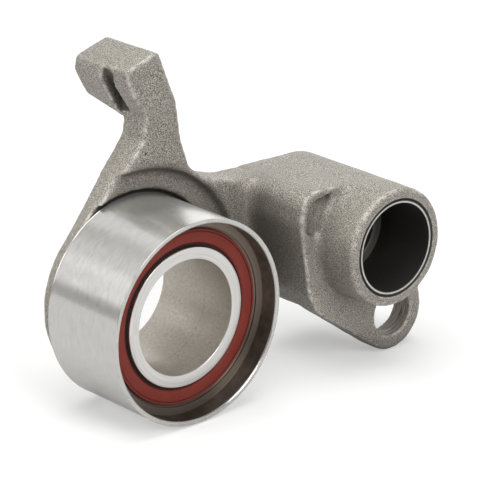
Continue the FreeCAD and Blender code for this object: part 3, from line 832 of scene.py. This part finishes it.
# floor and world, in metres
studio = {
    "floorLevel": -0.0302,
    "floorSide": 8.0,
    "floorColour": (0.66, 0.66, 0.66),
    "floorGlow": 0.39,              # only where the camera, or a reflection, looks at the floor
    "farGlow": 0.60,                # more of it far away, where the lamps don't reach
    "farReach": (0.5, 2.0),
    "glossyShare": (0.42, 0.74),    # how much of the glow a reflection shows, close under the part and beyond
    "glossyReach": (0.032, 0.070),
    "worldLevel": 0.06,             # how strongly the studio's walls light the object
    "wallLevel": 1.0,               # how bright they are in a reflection
    "frontShare": 0.45,             # how much of the walls' light is left on the camera's side
    "frontReach": (-0.35, 0.15),
    # brightness of the studio's panels round the pulley's axis, by angle in degrees
    "panels": [(-180, 0.50), (-150, 0.56), (-60, 0.66), (-30, 0.74), (-14, 1.30), (5, 1.55), (30, 1.70),
               (54, 1.40), (60, 0.40), (65, 0.05), (71, 0.85), (88, 0.98), (101, 0.45), (115, 0.80),
               (127, 1.05), (138, 1.15), (150, 0.92), (161, 1.00), (172, 0.42), (180, 0.50)],
}


def makeFloor():
    half = studio["floorSide"] / 2
    z = studio["floorLevel"]
    corners = [(-half, -half, z), (half, -half, z), (half, half, z), (-half, half, z)]
    mesh = bpy.data.meshes.new("floor")
    mesh.from_pydata(corners, [], [(0, 1, 2, 3)])
    floor = addObject("floor", mesh)
    mat, shader = newMaterial("pale_floor")
    shader.inputs["Base Color"].default_value = (*studio["floorColour"], 1)
    shader.inputs["Roughness"].default_value = 0.9
    shader.inputs["Specular IOR Level"].default_value = 0.1
    shader.inputs["Emission Color"].default_value = (1, 1, 1, 1)
    reach = addNode(mat, "ShaderNodeVectorMath", operation="LENGTH")
    join(mat, objectPlace(mat), reach.inputs[0])
    share = remap(mat, reach.outputs["Value"], *studio["glossyReach"], *studio["glossyShare"])
    rays = addNode(mat, "ShaderNodeLightPath")
    mirrored = sums(mat, "MULTIPLY", rays.outputs["Is Glossy Ray"], share)
    seen = sums(mat, "MAXIMUM", rays.outputs["Is Camera Ray"], mirrored)
    seen = sums(mat, "MAXIMUM", seen, rays.outputs["Is Transmission Ray"])
    far = remap(mat, reach.outputs["Value"], *studio["farReach"], 0.0, studio["farGlow"])
    glow = sums(mat, "ADD", far, studio["floorGlow"])
    join(mat, sums(mat, "MULTIPLY", seen, glow), shader.inputs["Emission Strength"])
    mesh.materials.append(mat)


def makeWorld():
    # white to the camera; a reflection sees the studio's panels
    world = bpy.data.worlds.new("studio")
    bpy.context.scene.world = world
    world.use_nodes = True
    world.node_tree.nodes.clear()
    split = addNode(world, "ShaderNodeSeparateXYZ")
    join(world, addNode(world, "ShaderNodeTexCoord").outputs["Generated"], split.inputs["Vector"])
    turn = sums(world, "ARCTAN2", split.outputs["Z"], split.outputs["X"])
    top = max(level for _, level in studio["panels"])
    greys = [((angle + 180) / 360, (level / top,) * 3) for angle, level in studio["panels"]]
    walls = addNode(world, "ShaderNodeBackground")
    join(world, ramp(world, remap(world, turn, -math.pi, math.pi, 0.0, 1.0), greys), walls.inputs["Color"])
    front = remap(world, split.outputs["Y"], *studio["frontReach"], studio["frontShare"] * top, top)
    rays = addNode(world, "ShaderNodeLightPath")
    level = remap(world, rays.outputs["Is Glossy Ray"], 0.0, 1.0, studio["worldLevel"], studio["wallLevel"])
    join(world, sums(world, "MULTIPLY", front, level), walls.inputs["Strength"])
    white = addNode(world, "ShaderNodeBackground", Color=(1, 1, 1, 1), Strength=1.0)
    seen = sums(world, "MAXIMUM", rays.outputs["Is Camera Ray"], rays.outputs["Is Transmission Ray"])
    mix = addNode(world, "ShaderNodeMixShader")
    join(world, seen, mix.inputs["Fac"])
    join(world, walls.outputs["Background"], mix.inputs[1])
    join(world, white.outputs["Background"], mix.inputs[2])
    out = addNode(world, "ShaderNodeOutputWorld")
    join(world, mix.outputs["Shader"], out.inputs["Surface"])


lamps = {
    # name: place, side of the square, watts and the point it is aimed at
    "overhead": {"place": (-0.20, -0.05, 2.1), "size": 2.2, "power": 43.0, "aim": (0.02, 0, 0)},
    "left": {"place": (-1.9, 0.60, 1.1), "size": 1.1, "power": 16.0, "aim": (0, 0, 0.02)},
    "front": {"place": (-0.20, -2.0, 1.3), "size": 1.3, "power": 29.0, "aim": (0.04, 0, 0.01)},
}


def makeLamps():
    for name, lamp in lamps.items():
        data = bpy.data.lights.new(name, "AREA")
        data.shape = "SQUARE"
        data.size = lamp["size"]
        data.energy = lamp["power"]
        obj = addObject("lamp_" + name, data)
        way = Vector(lamp["aim"]) - Vector(lamp["place"])
        turned = way.to_track_quat("-Z", "Y").to_matrix().to_4x4()
        obj.matrix_world = Matrix.Translation(lamp["place"]) @ turned


makeCamera()
makeFloor()
makeWorld()
makeLamps()
bpy.context.scene.view_settings.view_transform = "Standard"
print("studio ready")
